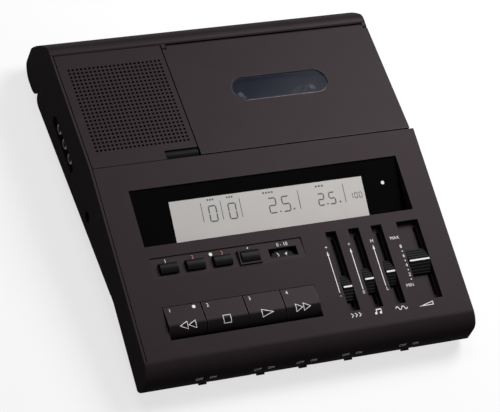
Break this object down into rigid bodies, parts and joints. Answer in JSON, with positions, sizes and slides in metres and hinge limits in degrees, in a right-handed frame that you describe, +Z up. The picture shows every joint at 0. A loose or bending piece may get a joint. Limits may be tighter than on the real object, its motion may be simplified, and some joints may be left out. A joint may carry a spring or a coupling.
{
  "type": "cassette transcriber",
  "caption": "Desktop cassette transcriber with a sloping control panel, display, slider controls, transport keys, perforated speaker panel and a hinged door over the tape deck.",
  "frame": {"origin": "middle of the machine's outline, on the table under the feet", "axes": "+Z up, +Y towards the rear roll, +X to the user's right"},
  "size_m": [0.188, 0.2105, 0.0394],
  "materials": {
    "case_plastic": "fine satin texture",
    "black_plastic": "satin",
    "gloss_black": "polished",
    "smoked_window": "smoked clear plastic",
    "lcd": "pale grey display",
    "lamp_red": "clear red",
    "board": "coated",
    "steel": "plain",
    "brass": "turned",
    "magnet": "dark",
    "cone_paper": "fibrous",
    "rubber": "matt",
    "white_plastic": "satin"
  },
  "bodies": {
    "case": {"upper_case": "case_plastic", "lower_case": "case_plastic", "speaker_panel": "case_plastic", "speaker_basket": "steel", "speaker_cone": "cone_paper", "speaker_magnet": "magnet", "display_lens": "gloss_black", "lcd_panel": "lcd", "record_lamp": "lamp_red", "control_board": "board", "main_board": "board", "slide_pots": "steel", "button_switches": "black_plastic", "key_switches": "black_plastic", "mode_switches": "steel", "dial_pot": "steel", "side_jacks": "black_plastic", "power_jack": "black_plastic", "deck_plate": "steel", "capstan_bearing": "brass", "motor": "steel", "drive_belt": "rubber", "key_pivot_rod": "steel", "door_hinge_pins": "steel", "case_screws": "steel", "rubber_feet": "rubber"},
    "door": {"cassette_door": "case_plastic", "door_window": "smoked_window", "cassette_holder": "black_plastic"},
    "eject": {"eject_button": "black_plastic"},
    "rewind_key_body": {"rewind_key": "case_plastic"},
    "stop_key_body": {"stop_key": "case_plastic"},
    "listen_key_body": {"listen_key": "case_plastic"},
    "forward_key_body": {"forward_key": "case_plastic"},
    "scan_button_body": {"scan_button": "gloss_black"},
    "record_button_body": {"record_button": "gloss_black"},
    "erase_button_body": {"erase_button": "gloss_black"},
    "reset_button_body": {"reset_button": "gloss_black"},
    "time_dial_body": {"time_dial": "black_plastic"},
    "speed_knob_body": {"speed_knob": "black_plastic"},
    "pitch_knob_body": {"pitch_knob": "black_plastic"},
    "tone_knob_body": {"tone_knob": "black_plastic"},
    "volume_knob_body": {"volume_knob": "black_plastic"},
    "standby_switch_body": {"standby_switch": "black_plastic"},
    "speaker_switch_body": {"speaker_switch": "black_plastic"},
    "stop_switch_body": {"stop_switch": "black_plastic"},
    "control_switch_body": {"control_switch": "black_plastic"},
    "tape_switch_body": {"tape_switch": "black_plastic"},
    "takeup_spindle_body": {"takeup_spindle": "white_plastic"},
    "supply_spindle_body": {"supply_spindle": "white_plastic"},
    "flywheel_body": {"flywheel": "steel"},
    "pulley_body": {"motor_pulley": "brass"},
    "heads": {"head_carriage": "steel", "play_head": "steel", "erase_head": "magnet"},
    "pinch_body": {"pinch_roller": "rubber"}
  },
  "joints": [
    {"name": "door_hinge", "type": "hinge", "parent": "case", "child": "door", "pos_m": [0, 0.08086, 0.0376], "axis": [-1, 0, 0], "range_deg": [0, 55]},
    {"name": "eject_press", "type": "slide", "parent": "case", "child": "eject", "axis": [0, 0, -1], "range_m": [0, 0.002], "stiffness_N_per_m": 300, "springref_m": -0.0005},
    {"name": "rewind_key_press", "type": "hinge", "parent": "case", "child": "rewind_key_body", "pos_m": [-0.06625, -0.06146, 0.0204], "axis": [1, 0, 0], "range_deg": [0, 6], "stiffness_Nm_per_rad": 0.6, "springref_deg": -1.72},
    {"name": "stop_key_press", "type": "hinge", "parent": "case", "child": "stop_key_body", "pos_m": [-0.04405, -0.06146, 0.0204], "axis": [1, 0, 0], "range_deg": [0, 6], "stiffness_Nm_per_rad": 0.6, "springref_deg": -1.72},
    {"name": "listen_key_press", "type": "hinge", "parent": "case", "child": "listen_key_body", "pos_m": [-0.0218, -0.06146, 0.0204], "axis": [1, 0, 0], "range_deg": [0, 6], "stiffness_Nm_per_rad": 0.6, "springref_deg": -1.72},
    {"name": "forward_key_press", "type": "hinge", "parent": "case", "child": "forward_key_body", "pos_m": [-0.0013, -0.06146, 0.0204], "axis": [1, 0, 0], "range_deg": [0, 6], "stiffness_Nm_per_rad": 0.6, "springref_deg": -1.72},
    {"name": "scan_button_press", "type": "slide", "parent": "case", "child": "scan_button_body", "axis": [0, 0.1444, -0.9895], "range_m": [0, 0.0008], "stiffness_N_per_m": 400, "springref_m": -0.0003},
    {"name": "record_button_press", "type": "slide", "parent": "case", "child": "record_button_body", "axis": [0, 0.1444, -0.9895], "range_m": [0, 0.0008], "stiffness_N_per_m": 400, "springref_m": -0.0003},
    {"name": "erase_button_press", "type": "slide", "parent": "case", "child": "erase_button_body", "axis": [0, 0.1444, -0.9895], "range_m": [0, 0.0008], "stiffness_N_per_m": 400, "springref_m": -0.0003},
    {"name": "reset_button_press", "type": "slide", "parent": "case", "child": "reset_button_body", "axis": [0, 0.1444, -0.9895], "range_m": [0, 0.0008], "stiffness_N_per_m": 400, "springref_m": -0.0003},
    {"name": "time_dial_turn", "type": "hinge", "parent": "case", "child": "time_dial_body", "pos_m": [-0.0025, -0.0544, 0.02568], "axis": [0, -0.1444, 0.9895], "range_deg": [-140, 140]},
    {"name": "speed_knob_slide", "type": "slide", "parent": "case", "child": "speed_knob_body", "axis": [0, -0.9895, -0.1444], "range_m": [-0.02445, 0.00615]},
    {"name": "pitch_knob_slide", "type": "slide", "parent": "case", "child": "pitch_knob_body", "axis": [0, -0.9895, -0.1444], "range_m": [-0.02195, 0.00865]},
    {"name": "tone_knob_slide", "type": "slide", "parent": "case", "child": "tone_knob_body", "axis": [0, -0.9895, -0.1444], "range_m": [-0.01965, 0.01095]},
    {"name": "volume_knob_slide", "type": "slide", "parent": "case", "child": "volume_knob_body", "axis": [0, -0.9895, -0.1444], "range_m": [-0.01565, 0.01495]},
    {"name": "standby_switch_slide", "type": "slide", "parent": "case", "child": "standby_switch_body", "axis": [1, 0, 0], "range_m": [0, 0.0034]},
    {"name": "speaker_switch_slide", "type": "slide", "parent": "case", "child": "speaker_switch_body", "axis": [1, 0, 0], "range_m": [-0.0034, 0]},
    {"name": "stop_switch_slide", "type": "slide", "parent": "case", "child": "stop_switch_body", "axis": [1, 0, 0], "range_m": [0, 0.0034]},
    {"name": "control_switch_slide", "type": "slide", "parent": "case", "child": "control_switch_body", "axis": [1, 0, 0], "range_m": [-0.0017, 0.0017]},
    {"name": "tape_switch_slide", "type": "slide", "parent": "case", "child": "tape_switch_body", "axis": [1, 0, 0], "range_m": [0, 0.0034]},
    {"name": "takeup_spindle_turn", "type": "hinge", "parent": "case", "child": "takeup_spindle_body", "pos_m": [0.00625, 0.04861, 0.0202], "axis": [0, 0, 1], "continuous": true},
    {"name": "supply_spindle_turn", "type": "hinge", "parent": "case", "child": "supply_spindle_body", "pos_m": [0.04875, 0.04861, 0.0202], "axis": [0, 0, 1], "continuous": true},
    {"name": "flywheel_turn", "type": "hinge", "parent": "case", "child": "flywheel_body", "pos_m": [-0.0062, 0.06791, 0.02], "axis": [0, 0, 1], "continuous": true},
    {"name": "pulley_turn", "type": "hinge", "parent": "case", "child": "pulley_body", "pos_m": [0.0695, 0.06661, 0.01], "axis": [0, 0, 1], "continuous": true},
    {"name": "head_slide", "type": "slide", "parent": "case", "child": "heads", "axis": [0, -1, 0], "range_m": [0, 0.006], "stiffness_N_per_m": 80, "springref_m": -0.004},
    {"name": "pinch_turn", "type": "hinge", "parent": "heads", "child": "pinch_body", "pos_m": [-0.0062, 0.08076, 0.027], "axis": [0, 0, 1], "continuous": true}
  ],
  "couplings": [
    {"joint": "pulley_turn", "follows": "flywheel_turn", "ratio": 3}
  ]
}
